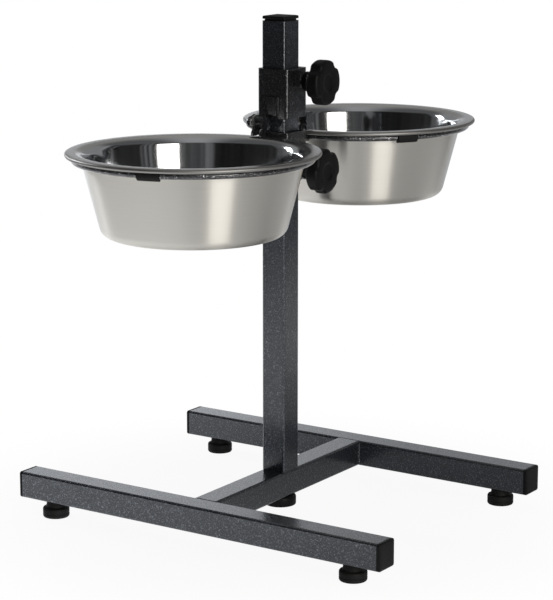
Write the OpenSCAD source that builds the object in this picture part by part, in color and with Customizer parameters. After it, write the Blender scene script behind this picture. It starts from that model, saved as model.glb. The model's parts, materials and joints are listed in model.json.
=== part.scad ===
// Raised dog feeder stand: H-shaped tube base, square post, two clamped bowl holders.
// Millimetres, +Z up. The origin is on the floor under the post.
// X runs along the crossbar through both bowls, Y along the skids. The clamp knobs face -Y.

/* [Tubes] */
// Side of the square tubes of the base and the post
tube_side = 25; // [22:0.5:28]
// Wall of those tubes
tube_wall = 1.5; // [1:0.1:2.5]
// Outside corner radius of those tubes
tube_corner = 2.2; // [1.6:0.1:4]

/* [Base] */
// Cut length of each skid tube, without its end caps
skid_length = 391; // [320:1:460]
// Distance between the centre lines of the two skids
skid_spacing = 268.8; // [220:0.2:340]
// Thickness of the plate of an end cap
cap_plate = 3.5; // [2:0.1:6]
// Length of the plug of an end cap
cap_plug = 12; // [6:0.5:20]
// Wall of the plug of an end cap
cap_plug_wall = 2; // [1:0.1:4]
// Radius of the weld beads between the crossbar and the skids
weld_r = 1.8; // [1:0.1:3]
// Distance of a weld bead from the rounded edges of the tubes
weld_inset = 0.5; // [0.2:0.1:2]

/* [Feet] */
// Height of a foot from the floor to its tube
foot_height = 16; // [14:0.5:24]
// Height of the wide pad of a foot
foot_pad_height = 9.5; // [7:0.5:11]
// Diameter of the pad of a foot
foot_diameter = 25; // [20:0.5:30]
// Diameter of the neck of a foot, where it meets the tube
foot_neck = 17; // [14:0.5:20]
// Edge radius of the pad of a foot
foot_edge = 1.6; // [0.8:0.1:2.5]
// Distance of a foot from the end of its skid tube
foot_inset = 30.5; // [25:0.5:60]
// Shank diameter of a foot screw
foot_screw_d = 4; // [3:0.1:5]
// Head diameter of a foot screw
foot_screw_head = 8; // [6.5:0.1:9]
// Head height of a foot screw
foot_screw_head_h = 2.6; // [2:0.1:3.5]
// Depth of the recess that hides the screw head
foot_recess = 5; // [4:0.1:7]
// Length of a foot screw inside the tube
foot_screw_reach = 6; // [3:0.5:10]

/* [Post] */
// Cut length of the post tube
post_length = 424; // [415:1:520]
// Height of the narrow neck between the post and its cap
post_cap_neck = 1.5; // [0.5:0.1:3]
// Thickness of the plate of the post cap at its edge
post_cap_plate = 2.6; // [2:0.1:5]
// Rise of the dome of the post cap
post_cap_dome = 0.9; // [0.4:0.1:2]
// Height of the plug in the foot of the post
post_plug_height = 18; // [14:0.5:30]

/* [Base hand screw] */
// Diameter of the stud of the base hand screw and of the clamp studs
stud_d = 8; // [6:0.1:9]
// Diameter of the head of the base hand screw
base_knob_d = 30; // [24:0.5:36]
// Height of the head of the base hand screw
base_knob_h = 10; // [7:0.5:12]
// Chamfer of that head
base_knob_chamfer = 1.5; // [0.5:0.1:2.5]
// Depth of the stud in that head
base_stud_seat = 7; // [4:0.5:8]
// Across-flats size of the nut in the post plug
post_nut_af = 13; // [12:0.1:15]
// Thickness of the nut in the post plug
post_nut_h = 6.5; // [5:0.1:8]
// Thickness of the plug under that nut
post_nut_floor = 5; // [3:0.5:8]

/* [Sleeves] */
// Outside width of a sleeve
sleeve_side = 33; // [32:0.2:36]
// Wall of a sleeve
sleeve_wall = 2; // [1.6:0.1:2.4]
// Outside corner radius of a sleeve
sleeve_corner = 3; // [2.2:0.1:4]
// Height of a sleeve
sleeve_height = 45; // [40:0.5:50]
// Height of the lower end of the upper sleeve above the floor
upper_sleeve_z = 377; // [375:0.5:400]
// Height of the lower end of the lower sleeve above the floor
lower_sleeve_z = 319; // [180:0.5:320]
// Distance of a clamp screw from the end of its sleeve
clamp_inset = 11; // [9:0.5:15]
// Diameter of the hole in a sleeve wall for its clamp stud
sleeve_hole_d = 8.8; // [8.4:0.1:9.6]

/* [Clamp screws] */
// Across-flats size of a weld nut
weld_nut_af = 16; // [13:0.5:18]
// Thickness of a weld nut
weld_nut_h = 9; // [6:0.5:10]
// Diameter of a pressure pad
pad_d = 12; // [10.5:0.1:14]
// Thickness of a pressure pad
pad_h = 2.4; // [1.6:0.1:2.4]
// Diameter of a clamp knob over its lobes
knob_d = 41; // [36:0.5:46]
// Thickness of the lobed part of a clamp knob
knob_h = 13; // [10:0.5:16]
// Diameter of the hub of a clamp knob
knob_hub_d = 18; // [14:0.5:22]
// Length of the hub of a clamp knob
knob_hub_l = 11.5; // [8:0.5:14]
// Radius of the notches between the lobes
knob_notch_r = 7; // [5:0.1:8]
// Distance of the notch centres from the axis of the knob
knob_notch_at = 23.5; // [22.5:0.1:25]
// Edge radius of the lobes
knob_edge = 3; // [1.5:0.1:4]
// Depth of the dish in the face of a clamp knob
knob_dish_depth = 1; // [0.5:0.1:2]
// Diameter of the dish in the face of a clamp knob
knob_dish_d = 17; // [12:0.5:20]
// Depth of the stud in a clamp knob
knob_stud_seat = 19; // [12:0.5:21]
// Turn of the upper knob as it is set
upper_knob_turn = 4; // [0:1:90]
// Turn of the lower knob as it is set
lower_knob_turn = 22; // [0:1:90]

/* [Brackets] */
// Width of a lug
lug_width = 12; // [9:0.5:13]
// Thickness of a lug
lug_thickness = 3; // [2.4:0.1:3.4]
// Length of a lug
lug_length = 17; // [12:0.5:22]
// Distance of a lug from the end of its sleeve
lug_inset = 3; // [2:0.5:6]
// Radius of the eyes of the arms and catches
eye_r = 6; // [5.6:0.1:6.4]
// Height of a bracket bolt over the rod of its ring
bolt_rise = 18; // [17.6:0.1:19]
// Distance of a bracket bolt from the face of the sleeve
bolt_out = 8.5; // [8.2:0.1:9]
// Diameter of a bracket bolt
bolt_d = 8; // [6:0.1:8.4]
// Head diameter of a bracket bolt
bolt_head_d = 13; // [11:0.1:13.6]
// Head height of a bracket bolt
bolt_head_h = 3; // [2:0.1:4]
// Diameter of a washer
washer_d = 14; // [13:0.1:15]
// Thickness of a washer
washer_h = 1.5; // [1:0.1:2]
// Across-flats size of a cap nut
cap_nut_af = 13; // [12.2:0.1:13.6]
// Height of the six-sided part of a cap nut
cap_nut_hex_h = 3.2; // [3:0.1:5]
// Radius of the round end of a cap nut
cap_nut_dome_r = 6; // [5.6:0.1:6.1]
// Length of a bracket bolt in its cap nut
cap_nut_grip = 4.5; // [3:0.1:5]
// Thickness of an arm
arm_thickness = 2.5; // [2:0.1:3]
// Width of the neck of an arm, between the post and the lip of the bowl
arm_neck = 5.4; // [4:0.1:5.6]
// Width of the foot of an arm, under the lip of the bowl
arm_foot = 5; // [4:0.1:6]
// Height of the top of the foot of an arm over the middle of the rod
arm_foot_rise = 1; // [0.5:0.1:1.4]
// Thickness of a catch
catch_thickness = 2.5; // [2:0.1:3]
// Reach of a catch out from its bolt
catch_reach = 10; // [8:0.5:14]
// Height of the outer end of a catch
catch_end = 2.4; // [1.6:0.1:3]
// Drop from the end of the upper sleeve to the rod of its ring
upper_ring_drop = 21.7; // [20:0.1:26]
// Drop from the end of the lower sleeve to the rod of its ring
lower_ring_drop = 8.7; // [8:0.1:12]

/* [Rings] */
// Radius of the rod of a ring
rod_r = 3.1; // [2.5:0.1:3.6]
// Radius of a ring to the centre of its rod
ring_r = 104; // [100:0.5:105]
// Distance of the near side of a ring from the axis of the post
ring_reach = 33; // [32.6:0.1:40]
// Thickness of the rubber clips on a ring
clip_thickness = 2.05; // [1.6:0.05:2.4]
// Length of a clip along its ring
clip_length = 19; // [12:0.5:30]
// Width of the slit of a clip
clip_slit = 3; // [2:0.1:4]
// Direction of the first clip of the front ring
front_clip_turn = 195; // [160:1:220]
// Direction of the first clip of the rear ring
rear_clip_turn = 237; // [225:1:255]

/* [Bowls] */
// Sheet thickness of a bowl
bowl_wall = 0.8; // [0.6:0.05:1]
// Depth of a bowl from its lip to the floor under it
bowl_depth = 74.6; // [60:0.2:80]
// Lean of the wall of a bowl
bowl_lean = 14.4; // [10:0.1:16]
// Radius of the lower corner of a bowl
bowl_corner = 11; // [8:0.5:16]
// Overhang of the lip of a bowl past the rod of its ring
lip_overhang = 8.3; // [7.8:0.1:8.4]
// Radius of the rolled edge of a lip
lip_bead_r = 1.9; // [1.4:0.1:2.1]

/* [Fits] */
// Slack of the plugs and caps in their tubes, on each side
plug_fit = 0.1; // [0.05:0.05:0.3]
// Slack of a sleeve on the post, on the side away from its clamp
slide_gap = 0.1; // [0.05:0.05:0.2]
// Radial slack of a screw in its thread or hole
thread_fit = 0.05; // [0.03:0.01:0.08]
// Gap between the pressure pad and the post
pad_gap = 0.1; // [0.05:0.05:0.2]
// Gap between a clamp knob and its weld nut
knob_gap = 0.6; // [0.3:0.1:1.5]
// Gap between a bowl and the clips that it rests on
seat_gap = 0.3; // [0.2:0.05:0.4]
// Gap between an arm and the lip of the bowl beside it
rim_gap = 1.5; // [1.2:0.1:2]
// Gap between a catch and the pieces on both sides of it
catch_gap = 0.1; // [0.05:0.05:0.2]
// Gap between a catch and the lip of the bowl under it
catch_rise = 0.6; // [0.4:0.1:1]
// Slack of a clip on its rod
clip_fit = 0.05; // [0.02:0.01:0.1]

/* [Hidden] */
$fn = 64;
inner_side = tube_side - 2 * tube_wall;
inner_corner = max(tube_corner - tube_wall, 0.5);
base_top = foot_height + tube_side;
skid_x = skid_spacing / 2;
foot_y = skid_length / 2 - foot_inset;
crossbar_length = skid_spacing - tube_side;
plug_side = inner_side - 2 * plug_fit;
plug_corner = max(inner_corner, 0.5);
post_top = base_top + post_length;
sleeve_inner = sleeve_side - 2 * sleeve_wall;
sleeve_y = slide_gap + tube_side / 2 - sleeve_inner / 2;
sleeve_face_y = sleeve_y - sleeve_side / 2;
pad_front_y = -tube_side / 2 - pad_gap;
pad_back_y = pad_front_y - pad_h;
knob_back_y = sleeve_face_y - weld_nut_h - knob_gap;
clamp_stud_length = pad_back_y - thread_fit - knob_back_y + knob_stud_seat;
upper_clamp_z = upper_sleeve_z + sleeve_height - clamp_inset;
lower_clamp_z = lower_sleeve_z + clamp_inset;
bolt_o = sleeve_side / 2 + bolt_out;
lower_sleeve_top = lower_sleeve_z + sleeve_height;
upper_lug_z = upper_sleeve_z + lug_inset;
lower_lug_z = lower_sleeve_top - lug_inset - lug_length;
front_ring_z = upper_sleeve_z - upper_ring_drop;
rear_ring_z = lower_sleeve_top - lower_ring_drop;
front_bolt_z = front_ring_z + bolt_rise;
rear_bolt_z = rear_ring_z + bolt_rise;
bowl_offset = ring_reach + ring_r;
lip_r = ring_r + lip_overhang;
bracket_grip = arm_thickness + catch_thickness + 2 * catch_gap;
lug_y0 = sleeve_y - lug_width / 2;
lug_y1 = sleeve_y + lug_width / 2;
seat_r = rod_r + clip_fit + clip_thickness + seat_gap;
clip_bore_r = rod_r + clip_fit;
clip_outer_r = clip_bore_r + clip_thickness;
weld_height = tube_side - 2 * tube_corner - 2 * weld_inset;
weld_z = base_top - tube_corner - weld_inset - weld_height;
foot_screw_length = foot_height + tube_wall + foot_screw_reach - foot_recess + foot_screw_head_h;
clip_angle = 360 * clip_length / (2 * PI * ring_r);
neck_out_o = ring_reach - lip_overhang - rim_gap;
neck_in_o = neck_out_o - arm_neck;
rear_bracket_y = lug_y0 - bracket_grip;
// Sub-part to draw, or all of them

// Shapes that several sub-parts share

module rounded_square(side, r) {
  square([side, side - 2 * r], center = true);
  square([side - 2 * r, side], center = true);
  for (x = [-1, 1], y = [-1, 1]) {
    translate([x * (side / 2 - r), y * (side / 2 - r)]) circle(r = r);
  }
}

module square_tube(side, wall, r, length) {
  linear_extrude(length) {
    difference() {
      rounded_square(side, r);
      rounded_square(side - 2 * wall, max(r - wall, 0.5));
    }
  }
}

// Round bar along +Y from the point [x, y, z]
module bar_y(at, d, length) {
  translate(at) rotate([-90, 0, 0]) cylinder(d = d, h = length);
}

// Six-sided bar along +Y from the point [x, y, z], with two flats facing along X
module hex_y(at, af, length) {
  translate(at) rotate([-90, 0, 0]) rotate([0, 0, 30]) cylinder(d = af / cos(30), h = length, $fn = 6);
}

function arc(center, r, a0, a1, steps) =
  [for (i = [0 : steps])
    let (a = a0 + (a1 - a0) * i / steps)
    center + r * [cos(a), sin(a)]];

// Base

module skid(x) {
  color([0.27, 0.28, 0.30])
  difference() {
    translate([x, skid_length / 2, foot_height + tube_side / 2]) rotate([90, 0, 0])
      square_tube(tube_side, tube_wall, tube_corner, skid_length);
    for (y = [-foot_y, foot_y]) {
      translate([x, y, foot_height - 1])
        cylinder(d = foot_screw_d + 2 * thread_fit, h = tube_wall + 2);
    }
  }
}

module front_skid() {
  skid(-skid_x);
}

module rear_skid() {
  skid(skid_x);
}

module crossbar() {
  color([0.27, 0.28, 0.30])
  difference() {
    translate([-crossbar_length / 2, 0, foot_height + tube_side / 2]) rotate([90, 0, 90])
      square_tube(tube_side, tube_wall, tube_corner, crossbar_length);
    translate([0, 0, foot_height - 1])
      cylinder(d = stud_d + 2 * thread_fit, h = tube_side + 2);
  }
}

// Upright weld beads in the four corners between the crossbar and the skids
module base_welds() {
  color([0.30, 0.31, 0.33])
  for (x = [-1, 1], y = [-1, 1]) {
    intersection() {
      translate([x * crossbar_length / 2, y * tube_side / 2, weld_z])
        cylinder(r = weld_r, h = weld_height);
      translate([x > 0 ? crossbar_length / 2 - weld_r : -crossbar_length / 2,
                 y > 0 ? tube_side / 2 : -tube_side / 2 - weld_r, foot_height])
        cube([weld_r, weld_r, tube_side]);
    }
  }
}

// Four equal caps, one in each end of the skids
module skid_end_caps() {
  color([0.05, 0.05, 0.055])
  for (x = [-skid_x, skid_x], side = [0, 180]) {
    translate([x, 0, foot_height + tube_side / 2]) rotate([0, 0, side]) {
      translate([0, skid_length / 2 + cap_plate, 0]) rotate([90, 0, 0])
        linear_extrude(cap_plate) rounded_square(tube_side, tube_corner);
      translate([0, skid_length / 2, 0]) rotate([90, 0, 0])
        square_tube(plug_side, cap_plug_wall, plug_corner, cap_plug);
    }
  }
}

module foot(x, y) {
  color([0.06, 0.06, 0.06])
  translate([x, y, 0])
  difference() {
    rotate_extrude() {
      polygon(concat(
        [[0, 0]],
        arc([foot_diameter / 2 - foot_edge, foot_edge], foot_edge, -90, 0, 6),
        arc([foot_diameter / 2 - foot_edge, foot_pad_height - foot_edge], foot_edge, 0, 90, 6),
        [[foot_neck / 2 + 1, foot_pad_height], [foot_neck / 2, foot_height], [0, foot_height]]
      ));
    }
    translate([0, 0, -1]) cylinder(d = foot_screw_head + 1, h = foot_recess + 1);
    cylinder(d = foot_screw_d + 2 * thread_fit, h = foot_height + 1);
  }
}

module foot_front_left() {
  foot(-skid_x, foot_y);
}

module foot_front_right() {
  foot(-skid_x, -foot_y);
}

module foot_rear_left() {
  foot(skid_x, foot_y);
}

module foot_rear_right() {
  foot(skid_x, -foot_y);
}

// Four equal screws, one in each foot
module foot_screws() {
  color([0.62, 0.62, 0.60])
  for (x = [-skid_x, skid_x], y = [-foot_y, foot_y]) {
    translate([x, y, foot_recess - foot_screw_head_h])
      cylinder(d = foot_screw_head, h = foot_screw_head_h);
    translate([x, y, foot_recess - foot_screw_head_h])
      cylinder(d = foot_screw_d, h = foot_screw_length);
  }
}

// Post

module post() {
  color([0.20, 0.21, 0.22])
  translate([0, 0, base_top]) square_tube(tube_side, tube_wall, tube_corner, post_length);
}

module post_top_cap() {
  neck_side = tube_side - 2;
  dome_r = (pow(tube_side / 2, 2) * 2 + pow(post_cap_dome, 2)) / (2 * post_cap_dome);
  cap_top = post_cap_neck + post_cap_plate + post_cap_dome;
  color([0.05, 0.05, 0.055])
  translate([0, 0, post_top]) {
    translate([0, 0, -cap_plug]) square_tube(plug_side, cap_plug_wall, plug_corner, cap_plug);
    linear_extrude(post_cap_neck) rounded_square(neck_side, tube_corner);
    intersection() {
      translate([0, 0, post_cap_neck]) linear_extrude(post_cap_plate + post_cap_dome)
        rounded_square(tube_side, tube_corner);
      translate([0, 0, cap_top - dome_r]) sphere(r = dome_r, $fn = 200);
    }
  }
}

// Plug in the foot of the post, with a pocket for its nut
module post_foot_plug() {
  color([0.07, 0.07, 0.075])
  translate([0, 0, base_top])
  difference() {
    linear_extrude(post_plug_height) rounded_square(plug_side, plug_corner);
    translate([0, 0, -1]) cylinder(d = stud_d + 2 * thread_fit, h = post_plug_height + 2);
    translate([0, 0, post_nut_floor])
      cylinder(d = (post_nut_af + 2 * thread_fit) / cos(30), h = post_plug_height, $fn = 6);
  }
}

module post_nut() {
  color([0.66, 0.66, 0.64])
  translate([0, 0, base_top + post_nut_floor])
  difference() {
    cylinder(d = post_nut_af / cos(30), h = post_nut_h, $fn = 6);
    translate([0, 0, -1]) cylinder(d = stud_d + 2 * thread_fit, h = post_nut_h + 2);
  }
}

module base_stud() {
  color([0.66, 0.66, 0.64])
  translate([0, 0, foot_height - base_stud_seat])
    cylinder(d = stud_d, h = base_stud_seat + tube_side + post_nut_floor + post_nut_h + 2);
}

module base_knob() {
  color([0.06, 0.06, 0.065])
  translate([0, 0, foot_height - base_knob_h])
  difference() {
    union() {
      cylinder(d = base_knob_d, h = base_knob_h - base_knob_chamfer);
      translate([0, 0, base_knob_h - base_knob_chamfer])
        cylinder(d1 = base_knob_d, d2 = base_knob_d - 2 * base_knob_chamfer, h = base_knob_chamfer);
    }
    translate([0, 0, base_knob_h - base_stud_seat])
      cylinder(d = stud_d + 2 * thread_fit, h = base_stud_seat + 1);
  }
}

// Sleeves and their clamps

module sleeve(z, clamp_z) {
  color([0.13, 0.13, 0.14])
  difference() {
    translate([0, sleeve_y, z]) square_tube(sleeve_side, sleeve_wall, sleeve_corner, sleeve_height);
    bar_y([0, sleeve_face_y - 1, clamp_z], sleeve_hole_d, sleeve_wall + 2);
  }
}

module upper_sleeve() {
  sleeve(upper_sleeve_z, upper_clamp_z);
}

module lower_sleeve() {
  sleeve(lower_sleeve_z, lower_clamp_z);
}

module weld_nut(z) {
  color([0.14, 0.14, 0.15])
  difference() {
    hex_y([0, sleeve_face_y - weld_nut_h, z], weld_nut_af, weld_nut_h);
    bar_y([0, sleeve_face_y - weld_nut_h - 1, z], stud_d + 2 * thread_fit, weld_nut_h + 2);
  }
}

module upper_weld_nut() {
  weld_nut(upper_clamp_z);
}

module lower_weld_nut() {
  weld_nut(lower_clamp_z);
}

module pressure_pad(z) {
  color([0.08, 0.08, 0.08])
  bar_y([0, pad_back_y, z], pad_d, pad_h);
}

module upper_pressure_pad() {
  pressure_pad(upper_clamp_z);
}

module lower_pressure_pad() {
  pressure_pad(lower_clamp_z);
}

module clamp_stud(z) {
  color([0.66, 0.66, 0.64])
  bar_y([0, knob_back_y - knob_stud_seat, z], stud_d, clamp_stud_length);
}

module upper_clamp_stud() {
  clamp_stud(upper_clamp_z);
}

module lower_clamp_stud() {
  clamp_stud(lower_clamp_z);
}

// Cross knob with four rounded lobes, a hub behind them and a shallow dish in its face
module clamp_knob(z, turn) {
  knob_r = knob_d / 2;
  face = knob_hub_l + knob_h;
  color([0.05, 0.05, 0.055])
  translate([0, knob_back_y, z]) rotate([90, 0, 0]) rotate([0, 0, turn])
  difference() {
    union() {
      cylinder(d = knob_hub_d, h = knob_hub_l + 1);
      intersection() {
        rotate_extrude() {
          polygon(concat(
            [[0, knob_hub_l]],
            arc([knob_r - knob_edge, knob_hub_l + knob_edge], knob_edge, -90, 0, 8),
            arc([knob_r - knob_edge, face - knob_edge], knob_edge, 0, 90, 8),
            [[0, face]]
          ));
        }
        translate([0, 0, knob_hub_l - 1]) linear_extrude(knob_h + 2) {
          difference() {
            circle(r = knob_r + 1);
            for (i = [0 : 3]) {
              rotate(45 + 90 * i) translate([knob_notch_at, 0]) circle(r = knob_notch_r);
            }
          }
        }
      }
    }
    translate([0, 0, -1]) cylinder(d = stud_d + 2 * thread_fit, h = knob_stud_seat + 1);
    translate([0, 0, face - knob_dish_depth])
      cylinder(d1 = knob_dish_d - 2 * knob_dish_depth, d2 = knob_dish_d, h = knob_dish_depth + 0.01);
  }
}

module upper_clamp_knob() {
  clamp_knob(upper_clamp_z, upper_knob_turn);
}

module lower_clamp_knob() {
  clamp_knob(lower_clamp_z, lower_knob_turn);
}

// Brackets between the sleeves and the rings, drawn on the +X side. The front ones are mirrored.

// Plate welded to the face of a sleeve
module lug(z) {
  color([0.14, 0.14, 0.15])
  translate([sleeve_side / 2, lug_y0, z]) cube([lug_thickness, lug_width, lug_length]);
}

module upper_lug() {
  mirror([1, 0, 0]) lug(upper_lug_z);
}

module lower_lug() {
  lug(lower_lug_z);
}

// Upright plate with a bored eye round the bolt. Each point of the outline is [out from the post, up].
module eye_plate(outline, y0, thickness, bolt_z, bore) {
  difference() {
    union() {
      translate([0, y0 + thickness, 0]) rotate([90, 0, 0]) linear_extrude(thickness) polygon(outline);
      bar_y([bolt_o, y0, bolt_z], 2 * eye_r, thickness);
    }
    bar_y([bolt_o, y0 - 1, bolt_z], bore, thickness + 2);
  }
}

// Arm with its foot cut to the rod of the ring
module arm(outline, y0, bolt_z, ring_z) {
  mid_y = y0 + arm_thickness / 2;
  rod_turn = asin(mid_y / ring_r);
  color([0.14, 0.14, 0.15])
  difference() {
    eye_plate(outline, y0, arm_thickness, bolt_z, bolt_d + 2 * thread_fit);
    translate([bowl_offset - ring_r * cos(rod_turn), mid_y, ring_z])
      rotate([90, 0, -rod_turn]) cylinder(r = rod_r, h = 4 * arm_thickness, center = true);
  }
}

// From the face of the upper sleeve to the bolt, and down past the lip of the bowl to the rod
module front_arm() {
  foot_top = front_ring_z + arm_foot_rise;
  outline = [
    [sleeve_side / 2, upper_lug_z + lug_length],
    [sleeve_side / 2 + lug_thickness, upper_lug_z + lug_length],
    [bolt_o + eye_r / 2, front_bolt_z + eye_r / 2],
    [neck_out_o, front_bolt_z - eye_r / 2],
    [neck_out_o, foot_top],
    [ring_reach, foot_top],
    [ring_reach, foot_top - arm_foot],
    [neck_in_o, foot_top - arm_foot],
    [neck_in_o, upper_sleeve_z],
    [sleeve_side / 2, upper_lug_z]
  ];
  mirror([1, 0, 0]) arm(outline, lug_y1, front_bolt_z, front_ring_z);
}

// From the face of the lower sleeve out to the rod, and up past the lip of the bowl to the bolt
module rear_arm() {
  foot_top = rear_ring_z + arm_foot_rise;
  outline = [
    [sleeve_side / 2, lower_lug_z],
    [sleeve_side / 2 + lug_thickness, lower_lug_z],
    [neck_out_o, foot_top - arm_foot],
    [ring_reach, foot_top - arm_foot],
    [ring_reach, foot_top],
    [neck_out_o, foot_top],
    [neck_out_o, rear_bolt_z - eye_r / 2],
    [bolt_o - eye_r / 2, rear_bolt_z + eye_r / 2],
    [neck_in_o, lower_lug_z + lug_length],
    [sleeve_side / 2, lower_lug_z + lug_length]
  ];
  arm(outline, lug_y0 - arm_thickness, rear_bolt_z, rear_ring_z);
}

// Swinging plate that keeps the lip of a bowl down
module bowl_catch(y0, bolt_z, ring_z) {
  edge_z = ring_z + seat_r + bowl_wall + catch_rise;
  outline = [
    [bolt_o, edge_z],
    [bolt_o + catch_reach, edge_z],
    [bolt_o + catch_reach, edge_z + catch_end],
    [bolt_o + eye_r / 2, bolt_z + eye_r / 2],
    [bolt_o - eye_r / 2, bolt_z - eye_r / 4]
  ];
  color([0.14, 0.14, 0.15])
  eye_plate(outline, y0, catch_thickness, bolt_z, bolt_d + 2 * catch_gap);
}

module front_catch() {
  mirror([1, 0, 0]) bowl_catch(lug_y1 + arm_thickness + catch_gap, front_bolt_z, front_ring_z);
}

module rear_catch() {
  bowl_catch(rear_bracket_y + catch_gap, rear_bolt_z, rear_ring_z);
}

// Bolt with its head on the -Y side
module bracket_bolt(y0, z) {
  color([0.10, 0.10, 0.10])
  union() {
    bar_y([bolt_o, y0 - bolt_head_h, z], bolt_head_d, bolt_head_h);
    bar_y([bolt_o, y0 - 1, z], bolt_d, bracket_grip + washer_h + cap_nut_grip + 1);
  }
}

module front_bracket_bolt() {
  mirror([1, 0, 0]) bracket_bolt(lug_y1, front_bolt_z);
}

module rear_bracket_bolt() {
  bracket_bolt(rear_bracket_y, rear_bolt_z);
}

module bracket_washer(y0, z) {
  color([0.72, 0.72, 0.72])
  difference() {
    bar_y([bolt_o, y0, z], washer_d, washer_h);
    bar_y([bolt_o, y0 - 1, z], bolt_d + 2 * thread_fit, washer_h + 2);
  }
}

module front_bracket_washer() {
  mirror([1, 0, 0]) bracket_washer(lug_y1 + bracket_grip, front_bolt_z);
}

module rear_bracket_washer() {
  bracket_washer(lug_y0, rear_bolt_z);
}

// Closed nut with a round end
module cap_nut(y0, z) {
  color([0.80, 0.80, 0.80])
  difference() {
    union() {
      hex_y([bolt_o, y0, z], cap_nut_af, cap_nut_hex_h);
      translate([bolt_o, y0 + cap_nut_hex_h, z]) rotate([-90, 0, 0]) rotate_extrude()
        polygon(concat([[0, -1], [cap_nut_dome_r, -1]], arc([0, 0], cap_nut_dome_r, 0, 90, 10)));
    }
    bar_y([bolt_o, y0 - 1, z], bolt_d + 2 * thread_fit, cap_nut_grip + 1);
  }
}

module front_cap_nut() {
  mirror([1, 0, 0]) cap_nut(lug_y1 + bracket_grip + washer_h, front_bolt_z);
}

module rear_cap_nut() {
  cap_nut(lug_y0 + washer_h, rear_bolt_z);
}

// Rings and bowls

module ring(x, z) {
  color([0.14, 0.14, 0.15])
  translate([x, 0, z]) rotate_extrude($fn = 128) translate([ring_r, 0]) circle(r = rod_r, $fn = 32);
}

module front_ring() {
  ring(-bowl_offset, front_ring_z);
}

module rear_ring() {
  ring(bowl_offset, rear_ring_z);
}

// Three equal clips round the rod of a ring, each with a slit on its lower inner side
module ring_clips(x, z, turn) {
  color([0.05, 0.05, 0.05])
  for (i = [0 : 2]) {
    translate([x, 0, z]) rotate([0, 0, turn + 120 * i - clip_angle / 2])
      rotate_extrude(angle = clip_angle, $fn = 360)
      translate([ring_r, 0])
      difference() {
        circle(r = clip_outer_r, $fn = 40);
        circle(r = clip_bore_r, $fn = 40);
        rotate(225) translate([0, -clip_slit / 2]) square([2 * clip_outer_r, clip_slit]);
      }
  }
}

module front_ring_clips() {
  ring_clips(-bowl_offset, front_ring_z, front_clip_turn);
}

module rear_ring_clips() {
  ring_clips(bowl_offset, rear_ring_z, rear_clip_turn);
}

// Pressed bowl: flat floor, leaning wall, a lip turned over the ring and a rolled edge
module bowl(x, ring_z) {
  top_z = seat_r + bowl_wall;
  floor_z = top_z - bowl_depth;
  wall_top = [ring_r - seat_r * cos(bowl_lean), seat_r * sin(bowl_lean)];
  corner_c = [
    wall_top[0] + ((floor_z + bowl_corner - wall_top[1]) * sin(bowl_lean) - bowl_corner) / cos(bowl_lean),
    floor_z + bowl_corner
  ];
  bead_c = [lip_r - lip_bead_r, top_z - lip_bead_r];
  color([0.74, 0.73, 0.71])
  translate([x, 0, ring_z]) rotate_extrude($fn = 128) {
    polygon(concat(
      [[0, floor_z]],
      arc(corner_c, bowl_corner, -90, -bowl_lean, 10),
      arc([ring_r, 0], seat_r, 180 - bowl_lean, 90, 12),
      [[bead_c[0], seat_r], [bead_c[0], top_z]],
      arc([ring_r, 0], seat_r + bowl_wall, 90, 180 - bowl_lean, 12),
      arc(corner_c, bowl_corner - bowl_wall, -bowl_lean, -90, 10),
      [[0, floor_z + bowl_wall]]
    ));
    translate(bead_c) circle(r = lip_bead_r, $fn = 32);
  }
}

module front_bowl() {
  bowl(-bowl_offset, front_ring_z);
}

module rear_bowl() {
  bowl(bowl_offset, rear_ring_z);
}

front_skid();
rear_skid();
crossbar();
base_welds();
skid_end_caps();
foot_front_left();
foot_front_right();
foot_rear_left();
foot_rear_right();
foot_screws();
post();
post_top_cap();
post_foot_plug();
post_nut();
base_stud();
base_knob();
upper_sleeve();
upper_weld_nut();
upper_lug();
upper_pressure_pad();
upper_clamp_stud();
upper_clamp_knob();
front_arm();
front_catch();
front_ring();
front_ring_clips();
front_bracket_bolt();
front_bracket_washer();
front_cap_nut();
front_bowl();
lower_sleeve();
lower_weld_nut();
lower_lug();
lower_pressure_pad();
lower_clamp_stud();
lower_clamp_knob();
rear_arm();
rear_catch();
rear_ring();
rear_ring_clips();
rear_bracket_bolt();
rear_bracket_washer();
rear_cap_nut();
rear_bowl();
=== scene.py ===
# %% [markdown]
# # A raised dog feeder stand
# The stand is a square tube base and post, with two clamped sleeves that carry stainless bowls in rod rings.
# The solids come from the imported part, at their true size and place, and each of them stays or is replaced by a
# finer piece at the same place. All sizes are in metres, and the origin is on the floor under the post.

# %% Load the frame
import json
import math

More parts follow.
